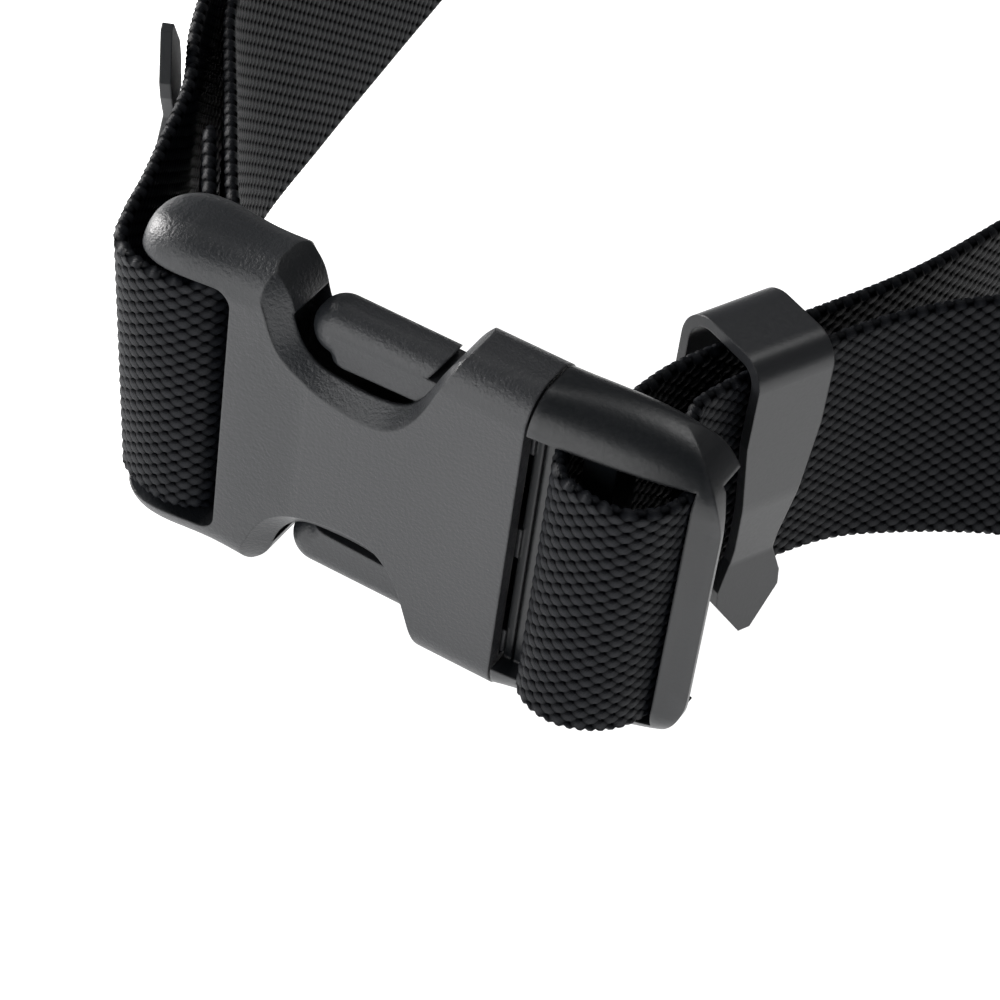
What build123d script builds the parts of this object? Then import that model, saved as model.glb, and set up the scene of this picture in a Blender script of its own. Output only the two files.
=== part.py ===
"""Webbing belt with a side-release buckle and two clip-on keepers. Millimetres, +Z up.

The belt stands on its lower edge as a closed loop. X runs along the buckle, from the socket to the
plug, and Y from the buckle's front face into the loop. Everything is drawn from the middle of the
socket's mouth and moved by TO_FRAME at the end, which puts the origin on the floor under the collar.
"""
from build123d import *
import math
import os

# webbing
WEB_WIDTH = 49.0
WEB_THICK = 2.4

# whole buckle
HALF = 31.75  # half of the buckle's height
DEPTH = 16.0  # front to back
CORNER = 6.4  # rounding of the long edges
COLLAR = 15.0  # length of the closed collar behind the mouth
TO_FRAME = Pos(COLLAR / 2, 0, HALF)

# socket
BAR_X = -67.0  # the bar that the webbing goes round
BAR_LONG, BAR_DEEP = 7.0, 6.0
SLOT_X = -53.2  # the edge of the webbing slot, towards the mouth
SLOT_HALF = 25.4
CAVITY_X = -46.0
CAVITY_DEEP, CAVITY_HALF = 10.0, 24.5
CHAMFER_Y = 4.9  # the scallops' bevels start this far from the middle plane

# plug
SEAM = 0.4  # gap between the mouth and the plug
PLUG_END = 32.4
PLUG_CORNER = 14.0
CROSS_END = 4.0  # the crossbar beside the mouth
CROSS_GROOVE = (1.9, 2.4)  # along the crossbar's front
CENTRE_BAR = (9.2, 14.8)
END_BAR = 27.4
WINDOW = 25.2  # half of the height between the rails
TONGUE_X, TONGUE_HALF, TONGUE_DEEP = -38.0, 3.0, 9.0

# latch arms
ARM_DEEP = 9.4
ARM_PIVOT = (-2.6, 21.4)  # x, z of the root about which an arm bends
ARM_ROOT = 2.4
ARM_OUTER = 27.2

# keepers
KEEPER_WIDE = 15.0
KEEPER_RADIUS = 9.0  # middle of the wall round the bend
KEEPER_WALL = 2.0
KEEPER_BEND = 18.5  # the bend's centre above the middle of the webbing


# ---- webbing -------------------------------------------------------------------------------
# Each point is x, y, height above the buckle's middle, and the lean in degrees of the upper edge to
# the left of the way along. The run starts at the end folded inside the socket's half, goes round
# the webbing bar, the whole loop and the plug's centre bar, and stops at the free tail's end.

TO_BACK = [
    (-113.5, 168.0, -6.5, -11),
    (-108.0, 125.0, -5.5, -12),
    (-103.0, 92.0, -4.2, -12),
    (-97.0, 64.0, -3.0, -9),
    (-89.6, 48.0, -2.0, -3),
    (-83.4, 37.5, -1.0, -1),
    (-77.9, 28.6, -0.2, 0),
    (-73.3, 21.8, 0.0, 0),
    (-67.0, 13.1, 0.0, 0),
    (-60.4, 6.4, 0.0, 0),
    (-56.8, 0.8, 0.0, 0),
    (-57.2, -4.6, 0.0, 0),
    (-61.5, -7.9, 0.0, 1),
    (-68.3, -8.1, 0.0, 3),
    (-74.0, -5.4, 0.0, 4),
    (-77.0, 0.8, 0.0, 4),
    (-80.3, 9.0, 0.0, 2),
    (-84.6, 20.0, 0.0, 1),
    (-90.2, 34.0, 0.0, 0),
    (-98.4, 49.0, -0.4, 1),
    (-103.0, 64.0, -1.8, 6),
    (-106.9, 91.4, -4.0, 11),
    (-111.8, 124.5, -5.4, 12),
    (-117.4, 167.5, -6.6, 11),
    (-121.5, 215.0, -7.1, 9),
    (-120.0, 280.0, -7.2, 9),
    (-107.0, 345.0, -7.1, 8),
    (-76.0, 392.0, -7.0, 7),
    (-33.0, 408.0, -7.0, 7),
]
FROM_BACK = [
    (-33.0, 408.0, -7.0, 7),
    (10.0, 392.0, -7.0, 7),
    (41.0, 345.0, -7.1, 8),
    (52.0, 280.0, -7.2, 9),
    (52.0, 210.0, -6.8, 8),
    (45.5, 150.0, -4.5, 6),
    (36.0, 95.0, -0.8, 3),
    (29.6, 66.5, 0.0, 0),
    (21.3, 47.5, 0.0, 0),
    (14.2, 32.5, 0.0, 0),
    (9.8, 21.0, 0.0, 0),
    (8.0, 11.0, 0.0, 0),
    (6.6, 2.0, 0.3, 0),
    (5.9, -6.0, 0.4, 0),
    (8.2, -10.8, 0.4, 0),
    (14.0, -12.9, 0.4, 0),
    (20.2, -11.8, 0.4, -2),
    (24.2, -8.0, 0.4, -2),
    (25.8, -3.0, 0.4, -1),
    (25.8, 2.0, 0.3, 0),
    (23.2, 7.0, 0.2, 0),
    (19.4, 11.0, 0.0, 0),
    (17.3, 15.6, 0.0, 0),
    (18.2, 23.0, 0.0, -1),
    (21.5, 32.8, 0.0, -2),
    (26.0, 42.8, 0.6, -2),
    (31.8, 52.4, 1.2, -1),
    (39.2, 60.6, 1.6, 2),
    (49.0, 69.2, 1.8, 5),
    (66.0, 81.0, 0.5, 7),
    (87.0, 96.5, -2.0, 7),
    (104.0, 115.0, -4.0, 4),
]
# a second ply of the folded end, which stops where the plies meet
TUCK = [
    (-70.2, 10.9, 0.0, 0),
    (-73.2, 15.2, 0.0, 0),
    (-76.3, 19.8, 0.0, 0),
    (-80.8, 26.5, 0.0, 0),
]
BACK_GAP = 0.5  # each half of the loop stops this short of its back
SPACING = 7.0  # between the webbing's sections


def slopes(points):
    """The direction of travel at each point of a run, per millimetre, and the points' distances."""
    gaps = [math.dist(a[:2], b[:2]) for a, b in zip(points, points[1:])]
    steps = [[(q - p) / g for p, q in zip(a, b)] for a, b, g in zip(points, points[1:], gaps)]
    inner = [
        [(p * h + q * g) / (g + h) for p, q in zip(a, b)]
        for a, b, g, h in zip(steps, steps[1:], gaps, gaps[1:])
    ]
    return [steps[0]] + inner + [steps[-1]], gaps


def smooth(points, spacing):
    """For each stretch between two points of a run, its places at about the given spacing."""
    slope, gaps = slopes(points)
    stretches = []
    for a, b, m, n, g in zip(points, points[1:], slope, slope[1:], gaps):
        count = max(2, round(g / spacing))
        stretch = []
        for t in (k / count for k in range(count + 1)):
            u = 1 - t
            weights = (u * u * (1 + 2 * t), t * u * u * g, t * t * (3 - 2 * t), -t * t * u * g)
            stretch.append([sum(w * v for w, v in zip(weights, c)) for c in zip(a, m, b, n)])
        stretches.append(stretch)
    return stretches


def web_section(place, run):
    """The webbing's rectangle at one place, square to the direction of travel."""
    x, y, z, lean = place
    lean = math.radians(lean)
    left = Vector(-run.Y, run.X, 0)
    up = Vector(0, 0, math.cos(lean)) + left * math.sin(lean)
    over = left * math.cos(lean) - Vector(0, 0, math.sin(lean))
    corners = [
        Vector(x, y, z) + up * (i * WEB_WIDTH / 2) + over * (j * WEB_THICK / 2)
        for i, j in ((-1, -1), (1, -1), (1, 1), (-1, 1))
    ]
    return Wire.make_polygon(corners, close=True)


def webbing(stretches):
    """A strip of webbing through the places of some stretches, as one solid."""
    places = [p for stretch in stretches for p in stretch[:-1]] + [stretches[-1][-1]]
    around = [places[0]] + places + [places[-1]]
    runs = [Vector(b[0] - a[0], b[1] - a[1], 0).normalized() for a, b in zip(around, around[2:])]
    return Solid.make_loft([web_section(p, r) for p, r in zip(places, runs)], ruled=True)


def webbing_halves():
    """The belt's webbing as two strips that meet at the back of the loop, and its tucked ply."""
    stretches = smooth(TO_BACK + FROM_BACK[1:], SPACING)
    halves = stretches[: len(TO_BACK) - 1], stretches[len(TO_BACK) - 1 :]
    halves[0][-1][-1][0] -= BACK_GAP
    halves[1][0][0][0] += BACK_GAP
    return webbing(halves[0]), webbing(halves[1]), webbing(smooth(TUCK, SPACING / 2))


# ---- buckle --------------------------------------------------------------------------------

def section(x, front, back, half, r_front, r_back):
    """A face across the buckle at x, rounded at its four long edges."""
    face = Rectangle(back - front, 2 * half)
    face = fillet(face.vertices().group_by(Axis.X)[0], r_front)
    face = fillet(face.vertices().group_by(Axis.X)[-1], r_back)
    at = Plane(origin=(x, (front + back) / 2, 0), x_dir=(0, 1, 0), z_dir=(1, 0, 0))
    return at * face


def box_between(x, y, z):
    """A box from three (low, high) pairs."""
    middle = [(low + high) / 2 for low, high in (x, y, z)]
    return Pos(*middle) * Box(*(high - low for low, high in (x, y, z)))


def drawn_at(y, points):
    """A face at y with a smooth outline in X and Z, closed by a straight line at its top."""
    curve = Spline(*[Vector(x, y, z) for x, z in points])
    top = Line(curve @ 1, curve @ 0)
    return make_face([curve, top])


SCALLOP = [
    (-55.0, 34.5), (-49.0, 31.8), (-44.6, 27.6), (-42.4, 21.6), (-38.6, 17.4), (-33.0, 16.3),
    (-26.5, 16.3), (-22.0, 17.6), (-18.6, 21.6), (-15.8, 27.6), (-13.2, 31.2), (-8.0, 34.5),
]
SCALLOP_RIM = [
    (-57.0, 34.5), (-51.6, 31.6), (-48.0, 26.6), (-45.0, 19.4), (-41.6, 15.6), (-36.0, 13.2),
    (-30.0, 12.1), (-23.6, 12.9), (-19.0, 17.4), (-15.6, 25.0), (-12.6, 30.6), (-7.4, 34.5),
]


def scallop():
    """The finger scallop in the upper edge: straight through the middle and bevelled outwards."""
    through = extrude(drawn_at(0, SCALLOP), CHAMFER_Y + 0.1, dir=(0, 1, 0), both=True)
    cut = through
    for side in (-1, 1):
        rim = drawn_at(side * DEPTH / 2, SCALLOP_RIM)
        cut += loft([drawn_at(side * CHAMFER_Y, SCALLOP), rim])
        cut += extrude(rim, 4, dir=(0, side, 0))
    return cut


def socket():
    """The female half: collar, scalloped plates, and two lobes that carry the webbing bar."""
    half_deep = DEPTH / 2
    outer = loft([
        section(x, -d, d, h, r, r)
        for x, d, h, r in (
            (-72.4, 4.4, 28.2, 4.0),
            (-71.2, 6.8, 29.4, 5.6),
            (-68.4, 8.8, 30.4, 6.6),
            (-62.0, 9.5, 30.9, 7.0),
            (-50.0, half_deep + 0.35, 31.35, 6.8),
            (-44.0, half_deep + 0.06, 31.7, 6.5),
            (-38.0, half_deep, HALF, CORNER),
        )
    ])
    outer += loft([
        section(-38.0, -half_deep, half_deep, HALF, CORNER, CORNER),
        section(0.0, -half_deep, half_deep, HALF, CORNER, CORNER),
    ])
    slot = box_between((-80, SLOT_X), (-12, 12), (-SLOT_HALF, SLOT_HALF))
    slot = fillet(slot.edges().filter_by(Axis.Y).sort_by(Axis.X)[-2:], 3.0)
    bar = Pos(BAR_X, 0, 0) * extrude(RectangleRounded(BAR_LONG, BAR_DEEP, 2.6), SLOT_HALF + 1, both=True)
    cut = scallop()
    cavity = box_between((CAVITY_X, 1), (-CAVITY_DEEP / 2, CAVITY_DEEP / 2), (-CAVITY_HALF, CAVITY_HALF))
    return outer - slot - cut - mirror(cut, Plane.XY) - cavity + bar


def plug_frame():
    """The male half's frame: crossbar, centre bar, end bar, two rails and the guide tongue."""
    outer = loft([
        section(x, front, back, h, r_front, r_back)
        for x, front, back, h, r_front, r_back in (
            (SEAM, -8.0, 8.0, 31.5, 6.4, 6.4),
            (10.0, -7.4, 7.8, 31.7, 9.6, 5.2),
            (20.0, -6.0, 7.0, 31.1, 9.8, 2.8),
            (PLUG_END, -2.6, 6.4, 27.4, 6.6, 2.2),
        )
    ])
    half = [(SEAM, 33.0), (16.0, 32.2), (PLUG_END, 28.2)]
    outline = Polyline(half + [(x, -z) for x, z in reversed(half)] + half[:1])
    keep = extrude(Plane.XZ * make_face(outline), 12, both=True)
    keep = fillet(keep.edges().filter_by(Axis.Y).sort_by(Axis.X)[-2:], PLUG_CORNER)
    plan = box_between((SEAM, PLUG_END), (-9.0, 9.0), (-40, 40))
    plan = fillet(plan.edges().filter_by(Axis.Z).sort_by(Axis.X)[-2:].sort_by(Axis.Y)[-1], 9.0)
    body = outer & keep & plan
    for x in ((CROSS_END, CENTRE_BAR[0]), (CENTRE_BAR[1], END_BAR)):
        body -= box_between(x, (-12, 12), (-WINDOW, WINDOW))
    body -= box_between((SEAM, CROSS_END + 0.1), (-12, -4.0), (-WINDOW, WINDOW))
    body -= box_between(CROSS_GROOVE, (-12, -3.2), (-WINDOW, WINDOW))
    body -= box_between((CENTRE_BAR[0] - 0.1, CENTRE_BAR[1] + 0.1), (-12, -5.0), (-WINDOW, WINDOW))
    body -= box_between((CENTRE_BAR[0] - 0.1, CENTRE_BAR[1] + 0.1), (3.0, 12), (-WINDOW, WINDOW))
    body -= box_between((END_BAR - 0.1, 40), (0.8, 12), (-WINDOW, WINDOW))
    near, far = PLUG_END - 2.0, PLUG_END + 0.1
    bevel = make_face(Polyline((near, 0.9), (far, -1.8), (far, 0.9), (near, 0.9)))
    body -= extrude(bevel, WINDOW, both=True)
    body -= box_between((-1, CROSS_END + 0.1), (5.0, 12), (-WINDOW, WINDOW))
    tongue = box_between(
        (TONGUE_X, SEAM + 0.2), (-TONGUE_DEEP / 2, TONGUE_DEEP / 2), (-TONGUE_HALF, TONGUE_HALF)
    )
    tongue = chamfer(tongue.edges().group_by(Axis.X)[0], 1.6)
    x0, z0 = ARM_PIVOT
    for side in (1, -1):
        z = side * z0
        seat = box_between((x0, SEAM + 0.2), (-ARM_DEEP / 2, ARM_DEEP / 2), (z - ARM_ROOT, z + ARM_ROOT))
        body += seat - Pos(x0, 0, z) * Rot(90, 0, 0) * Cylinder(ARM_ROOT + 0.1, 20)
    return body + tongue


def latch_arm():
    """The upper arm, with its shoulder behind the collar and its rounded grip in the scallop."""
    x0, z0 = ARM_PIVOT
    back = Line((-12.0, ARM_OUTER), (-37.0, ARM_OUTER))
    tip = TangentArc((-37.0, ARM_OUTER), (-41.8, 22.4), tangent=(-1, 0))
    under = TangentArc(tip @ 1, (-38.0, 17.8), tangent=tip % 1)
    inside = Polyline(under @ 1, (-12.0, 18.8), (-12.0, ARM_OUTER))
    grip = extrude(Plane.XZ * make_face([back, tip, under, inside]), ARM_DEEP / 2, both=True)
    edges = grip.edges().filter_by(lambda e: abs(abs(e.center().Y) - ARM_DEEP / 2) < 0.01)
    grip = fillet(edges.filter_by(lambda e: e.center().Z > 22.0 and e.center().X < -12.1), 4.2)
    in_collar = Polyline((-19.2, 10), (-19.2, z0 + ARM_ROOT), (-15.6, 30), (0, 30), (0, 10), (-19.2, 10))
    grip -= extrude(Plane.XZ * make_face(in_collar), 10, both=True)
    stem = box_between((-20.0, x0), (-ARM_DEEP / 2, ARM_DEEP / 2), (z0 - ARM_ROOT, z0 + ARM_ROOT))
    root = Pos(x0, 0, z0) * Rot(90, 0, 0) * Cylinder(ARM_ROOT, ARM_DEEP)
    return grip + stem + root


# ---- keepers -------------------------------------------------------------------------------

def keeper():
    """A J-shaped clip drawn with its front leg at +Y and its bend on top.

    The short back leg and the bend hook over the webbing. The front leg narrows to a waist, and
    below it flares out as a pointed lip.
    """
    r, top = KEEPER_RADIUS, KEEPER_BEND + KEEPER_RADIUS
    path = FilletPolyline(
        (-r, KEEPER_BEND - 3), (-r, top), (r, top), (r, -2), (r - 1.6, -16), (r + 0.4, -32),
        radius=[6, 4, 20, 5],
    )
    wall = Face(Wire(path.edges()).offset_2d(KEEPER_WALL / 2))
    strip = extrude(Plane.YZ * wall, KEEPER_WIDE / 2, both=True)
    w = KEEPER_WIDE / 2
    front = Polyline(
        (-w, 60), (w, 60), (w, 12), (4.4, -12), (4.4, -15.5), (6.4, -21), (6.4, -24), (1.2, -31),
        (-1.2, -31), (-6.4, -24), (-6.4, -21), (-4.4, -15.5), (-4.4, -12), (-w, 12), (-w, 60),
    )
    outline = extrude(Plane.XZ * make_face(front), 30, both=True)
    return strip & outline


def along_web(x, y, heading, lean, height, upright):
    """The place of a keeper on the webbing. Its front leg is on the loop's outside.

    heading is the outside's direction in the XY plane in degrees, from +X towards +Y.
    """
    out = Vector(math.cos(math.radians(heading)), math.sin(math.radians(heading)), 0)
    lean = math.radians(lean)
    up = Vector(0, 0, math.cos(lean)) + out * math.sin(lean)
    over = out * math.cos(lean) - Vector(0, 0, math.sin(lean))
    top = up if upright else up * -1
    return Plane(origin=(x, y, height), x_dir=over.cross(top), z_dir=top).location


KEEPER_RIGHT = along_web(17.8, 35.5, -24.8, 0, 0.0, True)
KEEPER_LEFT = along_web(-91.4, 44.4, 207.5, -1, -3.0, False)


# ---- output --------------------------------------------------------------------------------

def main():
    arm = latch_arm()
    clip = keeper()
    socket_half, plug_half, tuck = webbing_halves()
    nodes = {
        "socket": socket(),
        "plug_frame": plug_frame(),
        "latch_arm_upper": arm,
        "latch_arm_lower": mirror(arm, Plane.XY),
        "webbing_socket_half": socket_half,
        "webbing_tuck": tuck,
        "webbing_plug_half": plug_half,
        "keeper_right": KEEPER_RIGHT * clip,
        "keeper_left": KEEPER_LEFT * clip,
    }
    os.makedirs("parts", exist_ok=True)
    for name, shape in nodes.items():
        shape = TO_FRAME * shape
        shape.label = name
        export_step(shape, f"parts/{name}.step")


main()
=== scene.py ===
import math

import bpy
import numpy as np
from mathutils import Euler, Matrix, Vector


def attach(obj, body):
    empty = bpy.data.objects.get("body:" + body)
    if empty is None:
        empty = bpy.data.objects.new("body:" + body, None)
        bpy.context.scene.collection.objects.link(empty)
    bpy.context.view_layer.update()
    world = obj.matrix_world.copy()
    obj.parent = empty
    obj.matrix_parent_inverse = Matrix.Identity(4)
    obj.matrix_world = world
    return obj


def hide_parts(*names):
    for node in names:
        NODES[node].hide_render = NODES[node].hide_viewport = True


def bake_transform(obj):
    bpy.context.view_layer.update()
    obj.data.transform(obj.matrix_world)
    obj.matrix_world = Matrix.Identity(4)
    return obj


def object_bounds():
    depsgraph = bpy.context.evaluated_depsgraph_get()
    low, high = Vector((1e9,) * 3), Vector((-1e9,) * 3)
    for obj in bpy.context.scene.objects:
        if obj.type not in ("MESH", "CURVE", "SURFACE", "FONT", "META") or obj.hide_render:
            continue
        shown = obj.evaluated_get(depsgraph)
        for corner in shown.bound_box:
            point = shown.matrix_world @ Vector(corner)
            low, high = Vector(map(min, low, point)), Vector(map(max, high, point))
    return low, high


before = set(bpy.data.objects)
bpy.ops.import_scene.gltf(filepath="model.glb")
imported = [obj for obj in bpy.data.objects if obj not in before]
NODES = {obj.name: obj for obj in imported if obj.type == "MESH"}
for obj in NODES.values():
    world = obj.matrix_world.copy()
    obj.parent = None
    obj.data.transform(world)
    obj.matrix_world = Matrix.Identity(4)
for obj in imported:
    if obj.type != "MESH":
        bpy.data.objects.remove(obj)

CAD_BOX = [list(corner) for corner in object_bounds()]
MM = 0.001

# ---- camera ----------------------------------------------------------------------------------
# Fitted to the buckle's edges in the photo. The buckle's height and depth were assumed, because the
# photo shows no scale.

camera_data = bpy.data.cameras.new("camera")
camera_data.lens = 131.5
camera_data.sensor_width = 36.0
camera_data.clip_start = 0.01
camera = bpy.data.objects.new("camera", camera_data)
camera.location = (0.18139, -0.38481, 0.42225)
camera.rotation_euler = Euler([math.radians(a) for a in (47.266, -6.328, 30.882)], "XYZ")
bpy.context.collection.objects.link(camera)
bpy.context.scene.camera = camera
bpy.context.scene.view_settings.view_transform = "Standard"


# ---- material helpers ------------------------------------------------------------------------

class Nodes:
    """A material's node tree, with short calls for what the materials here use."""

    def __init__(self, name):
        self.material = bpy.data.materials.new(name)
        self.material.use_nodes = True
        self.tree = self.material.node_tree
        self.tree.nodes.clear()
        self.shader = self.add("ShaderNodeBsdfPrincipled")
        output = self.add("ShaderNodeOutputMaterial")
        self.link(self.shader.outputs["BSDF"], output.inputs["Surface"])

    def add(self, kind, **settings):
        node = self.tree.nodes.new(kind)
        for key, value in settings.items():
            setattr(node, key, value)
        return node

    def link(self, source, target):
        self.tree.links.new(source, target)

    def feed(self, value, socket):
        """A number or colour is set on the socket; another node's output is linked to it."""
        if isinstance(value, (int, float, tuple, list)):
            socket.default_value = value
        else:
            self.link(value, socket)

    def math(self, operation, *values, clamp=False):
        node = self.add("ShaderNodeMath", operation=operation, use_clamp=clamp)
        for value, socket in zip(values, node.inputs):
            self.feed(value, socket)
        return node.outputs[0]

    def coordinates(self):
        return self.add("ShaderNodeTexCoord").outputs["Object"]

    def noise(self, where, scale, detail=2.0, roughness=0.5):
        node = self.add("ShaderNodeTexNoise")
        self.link(where, node.inputs["Vector"])
        node.inputs["Scale"].default_value = scale
        node.inputs["Detail"].default_value = detail
        node.inputs["Roughness"].default_value = roughness
        return node.outputs["Fac"]

    def ramp(self, value, *stops):
        """Each stop is a position and either a grey level or three colour levels."""
        node = self.add("ShaderNodeValToRGB")
        self.link(value, node.inputs[0])
        elements = node.color_ramp.elements
        while len(elements) < len(stops):
            elements.new(0.5)
        for element, (position, colour) in zip(elements, stops):
            element.position = position
            element.color = (*colour, 1.0) if isinstance(colour, tuple) else (colour,) * 3 + (1.0,)
        return node.outputs["Color"]

    def span(self, value, low, high):
        """A value from 0 to 1 taken to the range from low to high."""
        node = self.add("ShaderNodeMapRange")
        self.link(value, node.inputs["Value"])
        node.inputs["To Min"].default_value = low
        node.inputs["To Max"].default_value = high
        return node.outputs[0]

    def mix(self, factor, a, b):
        node = self.add("ShaderNodeMix", data_type="RGBA")
        for value, name in ((factor, "Factor_Float"), (a, "A_Color"), (b, "B_Color")):
            socket = next(s for s in node.inputs if s.identifier == name)
            self.feed(value, socket)
        return next(s for s in node.outputs if s.identifier == "Result_Color")

    def bump(self, height, distance, strength=1.0, base=None):
        node = self.add("ShaderNodeBump")
        node.inputs["Strength"].default_value = strength
        node.inputs["Distance"].default_value = distance
        self.link(height, node.inputs["Height"])
        if base is not None:
            self.link(base, node.inputs["Normal"])
        return node.outputs[0]


PLASTIC_IOR = 1.52
CLOUD, MEDIUM_GRAIN, FINE_GRAIN = 38.0, 1500.0, 2600.0  # noise scales, per metre
EDGE_HIGHLIGHT_SHARE = 0.55  # share of the painted highlight tone on the sharpest edges


def plastic(name, colour, highlight_tone, grain, rough, edge):
    """Moulded plastic: a fine spark-eroded grain, a painted highlight on its sharpest edges, softened
    edges.

    grain is the grain's depth in millimetres, rough the middle roughness, and edge the radius in
    metres over which the shading rounds an edge.
    """
    n = Nodes(name)
    at = n.coordinates()
    cloud = n.noise(at, CLOUD, 4.0)
    fine = n.noise(at, FINE_GRAIN, 2.0, 0.6)
    medium = n.noise(at, MEDIUM_GRAIN, 3.0, 0.6)
    pointy = n.add("ShaderNodeNewGeometry").outputs["Pointiness"]
    # painted highlight: the sharpest edges, found by their pointiness, are lightened towards the
    # highlight tone
    edges = n.ramp(pointy, (0.50, 0.0), (0.58, 1.0))
    tone = n.mix(n.span(cloud, 0.0, 1.0), colour, tuple(1.25 * c for c in colour[:3]) + (1.0,))
    tone = n.mix(n.math("MULTIPLY", edges, EDGE_HIGHLIGHT_SHARE), tone, highlight_tone)
    n.link(tone, n.shader.inputs["Base Color"])
    speckle = n.math("ADD", n.span(medium, rough - 0.10, rough + 0.10), n.span(cloud, -0.04, 0.04))
    n.link(speckle, n.shader.inputs["Roughness"])
    n.shader.inputs["IOR"].default_value = PLASTIC_IOR
    soft = n.add("ShaderNodeBevel", samples=4)
    soft.inputs["Radius"].default_value = edge
    bumps = n.bump(medium, grain * MM, 1.0, soft.outputs[0])
    bumps = n.bump(fine, grain * 0.4 * MM, 0.8, bumps)
    n.link(bumps, n.shader.inputs["Normal"])
    return n.material


# ---- webbing ---------------------------------------------------------------------------------
# The run's points, as x, y, z in the drawing's millimetres and the lean in degrees. It starts at the
# end folded inside the socket's half, goes round the socket's bar, the whole loop and the plug's
# centre bar, and stops at the free tail's end.

WEB_THICK = 2.4
TO_FRAME = Vector((7.5, 0.0, 31.75))  # from the drawing's origin to the frame's, in millimetres
WEAVE_PITCH = 3.4  # between the floats of one row, lengthways
WEAVE_ROW = 2.4  # between the rows of floats; a second set lies half a step off each way
FLOAT_LONG, FLOAT_WIDE = 1.42, 1.12  # half of a float's length and width
RELIEF = 0.62  # how far the floats stand above the gaps
FACE_HALF = 22.8  # half of the width that the floats cover, between the selvedges
FACE_STEP = 0.6  # between the mesh's points across a face
EDGE_ACROSS = 1.7  # how far a selvedge's half-round reaches past the floats
EDGE_SWELL = 1.16  # a ratio, by which the half-round is thicker than the cord alone
EDGE_STEPS = 8  # between the two faces, round a selvedge
CORD_TURN = WEAVE_PITCH / 2  # length of one turn of a selvedge's cord
CORD_SKEW = 0.25  # share of a turn by which the cord's ridges slant from the middle to a face
CORD_LOW, CORD_RISE = 0.34, 0.50  # across: how far in its grooves lie, and its ridges' height
CORD_THIN, CORD_FULL = 0.30, 0.26  # through the thickness: the same two
RUN = [
    (-113.5, 168.0, -6.5, -11), (-108.0, 125.0, -5.5, -12), (-103.0, 92.0, -4.2, -12),
    (-97.0, 64.0, -3.0, -9), (-89.6, 48.0, -2.0, -3), (-83.4, 37.5, -1.0, -1), (-77.9, 28.6, -0.2, 0),
    (-73.3, 21.8, 0.0, 0), (-67.0, 13.1, 0.0, 0), (-60.4, 6.4, 0.0, 0), (-56.8, 0.8, 0.0, 0),
    (-57.2, -4.6, 0.0, 0), (-61.5, -7.9, 0.0, 1), (-68.3, -8.1, 0.0, 3), (-74.0, -5.4, 0.0, 4),
    (-77.0, 0.8, 0.0, 4), (-80.3, 9.0, 0.0, 2), (-84.6, 20.0, 0.0, 1), (-90.2, 34.0, 0.0, 0),
    (-98.4, 49.0, -0.4, 1), (-103.0, 64.0, -1.8, 6), (-106.9, 91.4, -4.0, 11),
    (-111.8, 124.5, -5.4, 12), (-117.4, 167.5, -6.6, 11), (-121.5, 215.0, -7.1, 9),
    (-120.0, 280.0, -7.2, 9), (-107.0, 345.0, -7.1, 8), (-76.0, 392.0, -7.0, 7),
    (-33.0, 408.0, -7.0, 7), (10.0, 392.0, -7.0, 7), (41.0, 345.0, -7.1, 8), (52.0, 280.0, -7.2, 9),
    (52.0, 210.0, -6.8, 8), (45.5, 150.0, -4.5, 6), (36.0, 95.0, -0.8, 3), (29.6, 66.5, 0.0, 0),
    (21.3, 47.5, 0.0, 0), (14.2, 32.5, 0.0, 0), (9.8, 21.0, 0.0, 0), (8.0, 11.0, 0.0, 0),
    (6.6, 2.0, 0.3, 0), (5.9, -6.0, 0.4, 0), (8.2, -10.8, 0.4, 0), (14.0, -12.9, 0.4, 0),
    (20.2, -11.8, 0.4, -2), (24.2, -8.0, 0.4, -2), (25.8, -3.0, 0.4, -1), (25.8, 2.0, 0.3, 0),
    (23.2, 7.0, 0.2, 0), (19.4, 11.0, 0.0, 0), (17.3, 15.6, 0.0, 0), (18.2, 23.0, 0.0, -1),
    (21.5, 32.8, 0.0, -2), (26.0, 42.8, 0.6, -2), (31.8, 52.4, 1.2, -1), (39.2, 60.6, 1.6, 2),
    (49.0, 69.2, 1.8, 5), (66.0, 81.0, 0.5, 7), (87.0, 96.5, -2.0, 7), (104.0, 115.0, -4.0, 4),
]
TUCK = [
    (-70.2, 10.9, 0.0, 0), (-73.2, 15.2, 0.0, 0), (-76.3, 19.8, 0.0, 0), (-80.8, 26.5, 0.0, 0),
]
NEAR_Y = 190.0  # the mesh is finer in front of this
PLACE_STEP = 0.4  # about this far between places along the run
LOOK = 0.6  # the direction of travel is taken over this far each way


def along(points):
    """Places closely spaced along a run of points, by the same cubic as the CAD's, and distances."""
    p = np.array(points, float)
    gaps = np.hypot(*np.diff(p[:, :2], axis=0).T)
    steps = np.diff(p, axis=0) / gaps[:, None]
    inner = (steps[:-1] * gaps[1:, None] + steps[1:] * gaps[:-1, None]) / (gaps[:-1] + gaps[1:])[:, None]
    slope = np.vstack([steps[:1], inner, steps[-1:]])
    out = []
    for a, b, m, n, g in zip(p, p[1:], slope, slope[1:], gaps):
        t = np.linspace(0, 1, max(8, int(g / PLACE_STEP)), endpoint=False)[:, None]
        u = 1 - t
        ends = u * u * (1 + 2 * t) * a + t * t * (3 - 2 * t) * b
        out.append(ends + t * u * u * g * m - t * t * u * g * n)
    out = np.vstack(out + [p[-1:]])
    far = np.concatenate([[0], np.cumsum(np.linalg.norm(np.diff(out[:, :3], axis=0), axis=1))])
    return out, far


def stations(places, far):
    """Distances along the run at which the mesh has a ring: six a float, and three far behind."""
    count = int(far[-1] / WEAVE_PITCH)
    found = []
    for k in range(count):
        s = k * WEAVE_PITCH
        parts = 6 if np.interp(s, far, places[:, 1]) < NEAR_Y else 3
        found.extend(s + WEAVE_PITCH * j / parts for j in range(parts))
    return np.array(found + [count * WEAVE_PITCH, far[-1]])


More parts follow.
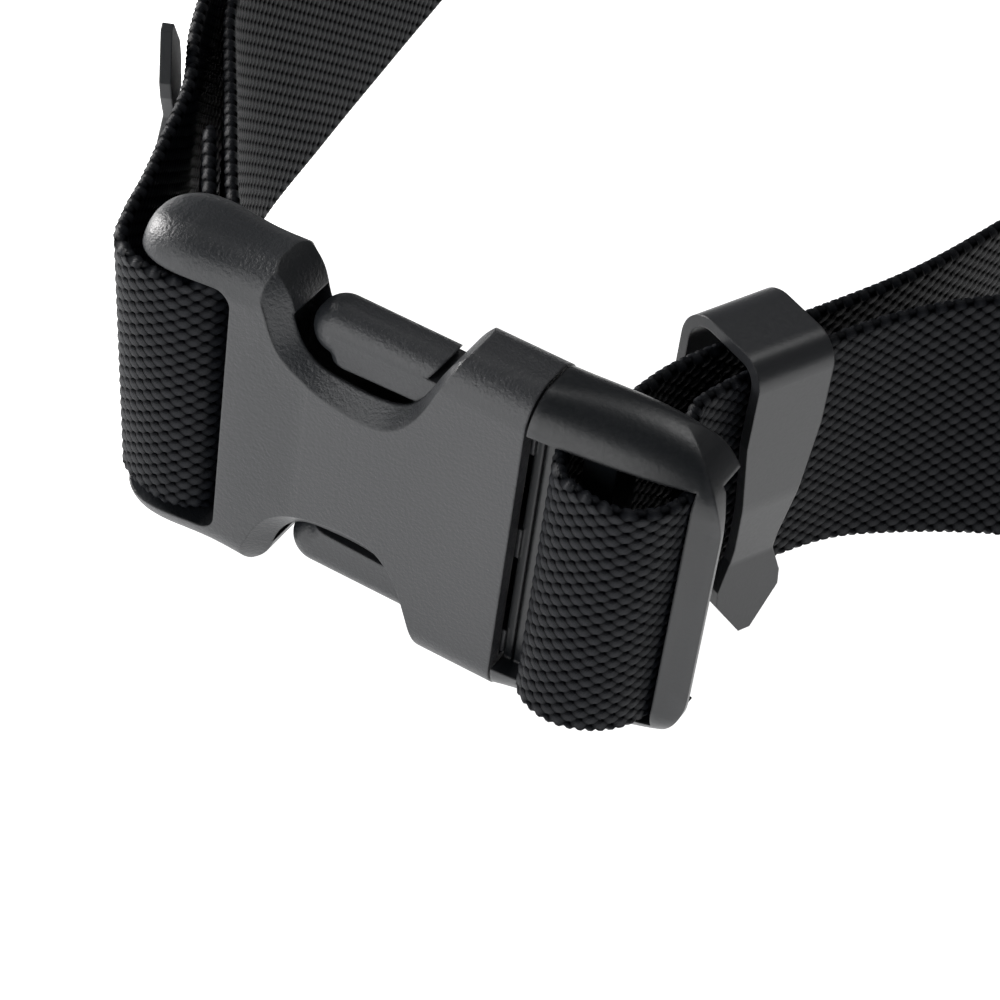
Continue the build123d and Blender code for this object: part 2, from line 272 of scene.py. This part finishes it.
def web_profile():
    """The ring's points, in the order face, selvedge, face, selvedge.

    Each is its place across the webbing, its side, and 1 on a face or 0 on a selvedge. The side is
    1 on the first face and -1 on the other, and goes from about one to about the other between.
    """
    face = np.arange(-FACE_HALF, FACE_HALF + 0.01, FACE_STEP)
    front = [(w, 1.0, 1.0) for w in face]
    back = [(w, -1.0, 1.0) for w in face[::-1]]
    right, left = [], []
    for k in range(1, EDGE_STEPS):
        a = math.pi / 2 - math.pi * k / EDGE_STEPS
        right.append((FACE_HALF + EDGE_ACROSS * math.cos(a), math.sin(a) * EDGE_SWELL, 0.0))
        left.append((-FACE_HALF - EDGE_ACROSS * math.cos(a), -math.sin(a) * EDGE_SWELL, 0.0))
    return np.array(front + right + back + left)


def weave(s, w):
    """The weave's height, 0 to 1, at distance s and across w: two staggered sets of rounded floats."""
    near = np.full(np.shape(s), 4.0)
    for shift in (0.0, 0.5):
        u = (np.mod(s / WEAVE_PITCH + shift, 1.0) - 0.5) * WEAVE_PITCH / FLOAT_LONG
        v = (np.mod(w / WEAVE_ROW + shift, 1.0) - 0.5) * WEAVE_ROW / FLOAT_WIDE
        near = np.minimum(near, u * u + v * v)
    return np.sqrt(np.clip(1 - near, 0, 1))


def travel(s, places, far):
    """At each distance: place and lean, and unit vectors along the width and the thickness."""
    at = np.stack([np.interp(s, far, places[:, k]) for k in range(4)], axis=1)
    ahead = np.stack([np.interp(s + LOOK, far, places[:, k]) for k in range(2)], axis=1)
    behind = np.stack([np.interp(s - LOOK, far, places[:, k]) for k in range(2)], axis=1)
    run = ahead - behind
    run /= np.linalg.norm(run, axis=1)[:, None]
    left = np.stack([-run[:, 1], run[:, 0], np.zeros(len(s))], axis=1)
    lean = np.radians(at[:, 3])[:, None]
    z = np.array([[0.0, 0.0, 1.0]])
    return at, z * np.cos(lean) + left * np.sin(lean), left * np.cos(lean) - z * np.sin(lean)


def web_surface(s, places, far):
    """The strip's points in metres, ring by ring, and each one's distance along and across."""
    at, up, over = travel(s, places, far)
    ring = web_profile()
    w, side, is_face = ring[:, 0], ring[None, :, 1], ring[None, :, 2] > 0.5
    half = WEB_THICK / 2
    ss, ww = np.meshgrid(s, w, indexing="ij")
    ridge = np.abs(np.cos(np.pi * (ss / CORD_TURN + CORD_SKEW * side)))
    on_face = side * (half - RELIEF + RELIEF * weave(ss, ww))
    on_edge = side * (half - CORD_THIN + CORD_FULL * ridge)
    out = np.where(is_face, on_face, on_edge)
    across = ww + np.sign(ww) * np.where(is_face, 0.0, CORD_RISE * ridge - CORD_LOW)
    xyz = at[:, None, :3] + up[:, None, :] * across[..., None] + over[:, None, :] * out[..., None]
    return (xyz + np.array(TO_FRAME)) * MM, ss, ww


def web_mesh(name, points):
    """A strip of webbing along a run of points, with its weave and corded selvedges as shape."""
    places, far = along(points)
    xyz, ss, ww = web_surface(stations(places, far), places, far)
    count, size = ss.shape
    i = np.arange(count - 1)[:, None] * size
    j = np.arange(size)[None, :]
    k = (j + 1) % size
    quads = np.stack([i + size + j, i + size + k, i + k, i + j], axis=-1).reshape(-1, 4)
    last = (count - 1) * size
    flat = quads.ravel().tolist() + list(range(size)) + list(range(last + size - 1, last - 1, -1))
    sizes = [4] * len(quads) + [size, size]
    mesh = bpy.data.meshes.new(name)
    mesh.vertices.add(count * size)
    mesh.vertices.foreach_set("co", xyz.ravel())
    mesh.loops.add(len(flat))
    mesh.loops.foreach_set("vertex_index", flat)
    mesh.polygons.add(len(sizes))
    mesh.polygons.foreach_set("loop_start", np.concatenate([[0], np.cumsum(sizes)[:-1]]))
    mesh.update(calc_edges=True)
    mesh.validate()
    uv = mesh.uv_layers.new(name="weave")
    grid = np.stack([(ss / WEAVE_PITCH).ravel(), (ww / WEAVE_ROW).ravel()], axis=1)
    uv.data.foreach_set("uv", grid[np.array(flat)].ravel())
    mesh.shade_smooth()
    obj = bpy.data.objects.new(name, mesh)
    bpy.context.collection.objects.link(obj)
    return obj, far[-1] * MM


# the tones darken from the floats' crowns down into the gaps between them: painted shade
GAP_SHADE, SLOPE, CROWN = (0.0, 0.0001, 0.0002), (0.0002, 0.0004, 0.0009), (0.0044, 0.0056, 0.0084)
FADED = (0.003, 0.0036, 0.005, 1.0)  # in blotches over the other tones
FUZZ, BLOTCH = 5200.0, 60.0  # noise scales, per metre
TWIST_ACROSS, TWIST_ALONG = 64.0, 22.0  # filaments, in radians a row and a pitch of the weave
NYLON_IOR = 1.36


def float_height(n, s, w):
    """The same height as weave() gives, from the mesh's weave coordinates s and w."""
    near = None
    for shift in (0.0, 0.5):
        u = n.math("SUBTRACT", n.math("FRACT", n.math("ADD", s, shift)), 0.5)
        v = n.math("SUBTRACT", n.math("FRACT", n.math("ADD", w, shift)), 0.5)
        u = n.math("MULTIPLY", u, WEAVE_PITCH / FLOAT_LONG)
        v = n.math("MULTIPLY", v, WEAVE_ROW / FLOAT_WIDE)
        far = n.math("ADD", n.math("MULTIPLY", u, u), n.math("MULTIPLY", v, v))
        near = far if near is None else n.math("MINIMUM", near, far)
    return n.math("SQRT", n.math("SUBTRACT", 1.0, near, clamp=True))


def webbing_material():
    """Black nylon: staggered floats, each of fine twisted filaments, with the gaps between painted
    darker as shade.
    """
    n = Nodes("black_nylon_webbing")
    uv = n.add("ShaderNodeUVMap", uv_map="weave").outputs[0]
    parts = n.add("ShaderNodeSeparateXYZ")
    n.link(uv, parts.inputs[0])
    s, w = parts.outputs[0], parts.outputs[1]
    height = float_height(n, s, w)
    at = n.coordinates()
    fuzz = n.noise(at, FUZZ, 3.0, 0.7)
    blotch = n.noise(at, BLOTCH, 3.0)
    turn = n.math("ADD", n.math("MULTIPLY", w, TWIST_ACROSS), n.math("MULTIPLY", s, TWIST_ALONG))
    twist = n.math("SINE", turn)
    twist = n.span(twist, 0.0, 1.0)
    # painted shade: the base colour darkens with the weave's height down into the gaps
    tone = n.ramp(height, (0.0, GAP_SHADE), (0.5, SLOPE), (1.0, CROWN))
    tone = n.mix(n.math("MULTIPLY", blotch, 0.3), tone, FADED)
    n.link(tone, n.shader.inputs["Base Color"])
    n.link(n.span(fuzz, 0.42, 0.62), n.shader.inputs["Roughness"])
    # the specular level, too, is turned down towards the gaps as painted shade
    n.link(n.span(n.math("POWER", height, 2.5), 0.0, 0.34), n.shader.inputs["Specular IOR Level"])
    n.shader.inputs["IOR"].default_value = NYLON_IOR
    bumps = n.bump(height, 0.5 * MM, 0.7)
    bumps = n.bump(twist, 0.05 * MM, 0.5, bumps)
    bumps = n.bump(fuzz, 0.05 * MM, 0.5, bumps)
    n.link(bumps, n.shader.inputs["Normal"])
    return n.material


webbing, webbing_length = web_mesh("belt_webbing", RUN)
tuck, tuck_length = web_mesh("tucked_ply", TUCK)
WEBBING_MATERIAL = webbing_material()
for strip in (webbing, tuck):
    strip.data.materials.append(WEBBING_MATERIAL)
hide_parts("webbing_socket_half", "webbing_plug_half")
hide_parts("webbing_tuck")
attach(tuck, "socket_body")
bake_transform(webbing)

# ---- plastic parts ---------------------------------------------------------------------------

EDGE_HIGHLIGHT_TONE = (0.030, 0.031, 0.034, 1.0)  # the lighter tone painted on the plastics' sharpest edges as a highlight
BUCKLE = plastic("satin_buckle_plastic", (0.0105, 0.0122, 0.0146, 1.0), EDGE_HIGHLIGHT_TONE, 0.13, 0.40, 0.6 * MM)
PLUG = plastic("smooth_plug_plastic", (0.0034, 0.0046, 0.0060, 1.0), EDGE_HIGHLIGHT_TONE, 0.02, 0.33, 0.6 * MM)
KEEPER = plastic("smooth_keeper_plastic", (0.0088, 0.0104, 0.0122, 1.0), EDGE_HIGHLIGHT_TONE, 0.02, 0.35, 0.4 * MM)
for node, material in (
    ("socket", BUCKLE), ("latch_arm_upper", BUCKLE), ("latch_arm_lower", BUCKLE),
    ("plug_frame", PLUG), ("keeper_right", KEEPER), ("keeper_left", KEEPER),
):
    slots = NODES[node].data.materials
    slots.clear()
    slots.append(material)

# ---- stage -----------------------------------------------------------------------------------

FLOOR_DROP = 0.0005  # below the belt's lowest point, so that the two don't touch

bpy.ops.mesh.primitive_plane_add(size=12.0, location=(0.0, 0.0, CAD_BOX[0][2] - FLOOR_DROP))
floor = bpy.context.object
floor.name = "studio_floor"
n = Nodes("pale_floor")
n.shader.inputs["Base Color"].default_value = (0.9, 0.9, 0.9, 1.0)
n.shader.inputs["Roughness"].default_value = 0.9
n.shader.inputs["Emission Color"].default_value = (1.0, 1.0, 1.0, 1.0)
n.shader.inputs["Emission Strength"].default_value = 1.05
floor.data.materials.append(n.material)


AIM = (-0.02, 0.0, 0.03)  # near the buckle's middle


def softbox(name, location, size, power, colour=(1.0, 1.0, 1.0)):
    """A rectangular area light aimed at the buckle."""
    data = bpy.data.lights.new(name, "AREA")
    data.shape = "RECTANGLE"
    data.size, data.size_y = size
    data.energy = power
    data.color = colour
    light = bpy.data.objects.new(name, data)
    light.location = location
    light.rotation_euler = (Vector(AIM) - Vector(location)).to_track_quat("-Z", "Y").to_euler()
    bpy.context.collection.objects.link(light)


softbox("front_softbox", (-0.35, -0.95, 0.35), (1.0, 0.8), 7.0)
softbox("left_softbox", (-0.95, 0.1, 0.30), (0.35, 0.45), 14.0, (1.0, 0.98, 0.97))
softbox("top_softbox", (0.1, 0.5, 1.2), (0.5, 0.5), 3.0)

world = bpy.data.worlds.new("studio")
world.use_nodes = True
background = world.node_tree.nodes["Background"]
background.inputs["Color"].default_value = (1.0, 1.0, 1.0, 1.0)
background.inputs["Strength"].default_value = 0.09
bpy.context.scene.world = world
